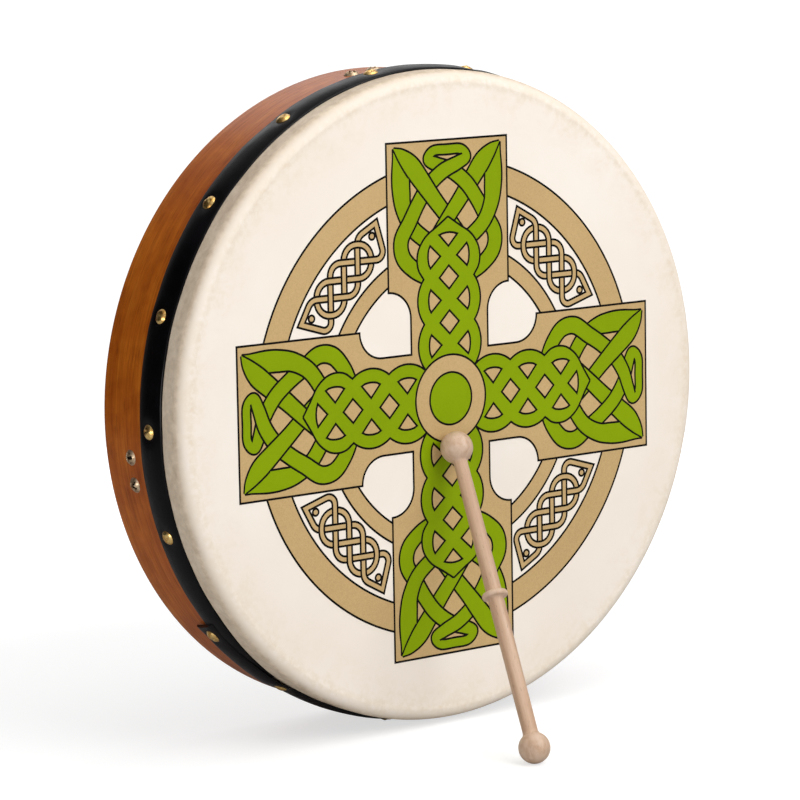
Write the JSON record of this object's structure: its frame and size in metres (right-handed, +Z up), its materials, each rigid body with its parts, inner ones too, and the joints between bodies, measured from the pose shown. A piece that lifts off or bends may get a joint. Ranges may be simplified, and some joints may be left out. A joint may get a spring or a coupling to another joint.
{
  "type": "bodhran",
  "caption": "Shallow round frame drum standing on its rim, with a tacked-on skin, a printed ringed cross, crossbars inside the open back, and a double-ended wooden beater leaning on the skin.",
  "frame": {"origin": "on the floor, under the middle of the box round the drum and the leaning beater; the drum's axis is 0.2326 m above it", "axes": "+Z up; +Y from the painted skin to the open back, along the drum's axis; +X to the right seen from the front"},
  "size_m": [0.4704, 0.2324, 0.4652],
  "materials": {
    "stained_wood": "reddish-brown stain under satin lacquer",
    "goatskin": "cream, matt",
    "band_vinyl": "black, satin",
    "tack_brass": "polished, dented",
    "bar_wood": "plain, satin",
    "screw_steel": "zinc plated",
    "ink_tan": "screen ink, speckled",
    "ink_green": "screen ink",
    "ink_black": "screen ink",
    "beater_wood": "bare turned beech"
  },
  "bodies": {
    "drum": {"shell": "stained_wood", "drumhead": "goatskin", "trim_band": "band_vinyl", "dome_tacks": "tack_brass", "crossbar_level": "bar_wood", "crossbar_upright": "bar_wood", "crossbar_screws": "screw_steel", "ink_tan": "ink_tan", "ink_green": "ink_green", "ink_black": "ink_black"},
    "beater": {"beater": "beater_wood"}
  },
  "joints": [
    {"name": "beater_tilt", "type": "hinge", "parent": "drum", "child": "beater", "pos_m": [-0.0339, -0.1053, 0.0109], "axis": [0.9704, -0.2416, 0], "range_deg": [0, 122.2]}
  ]
}
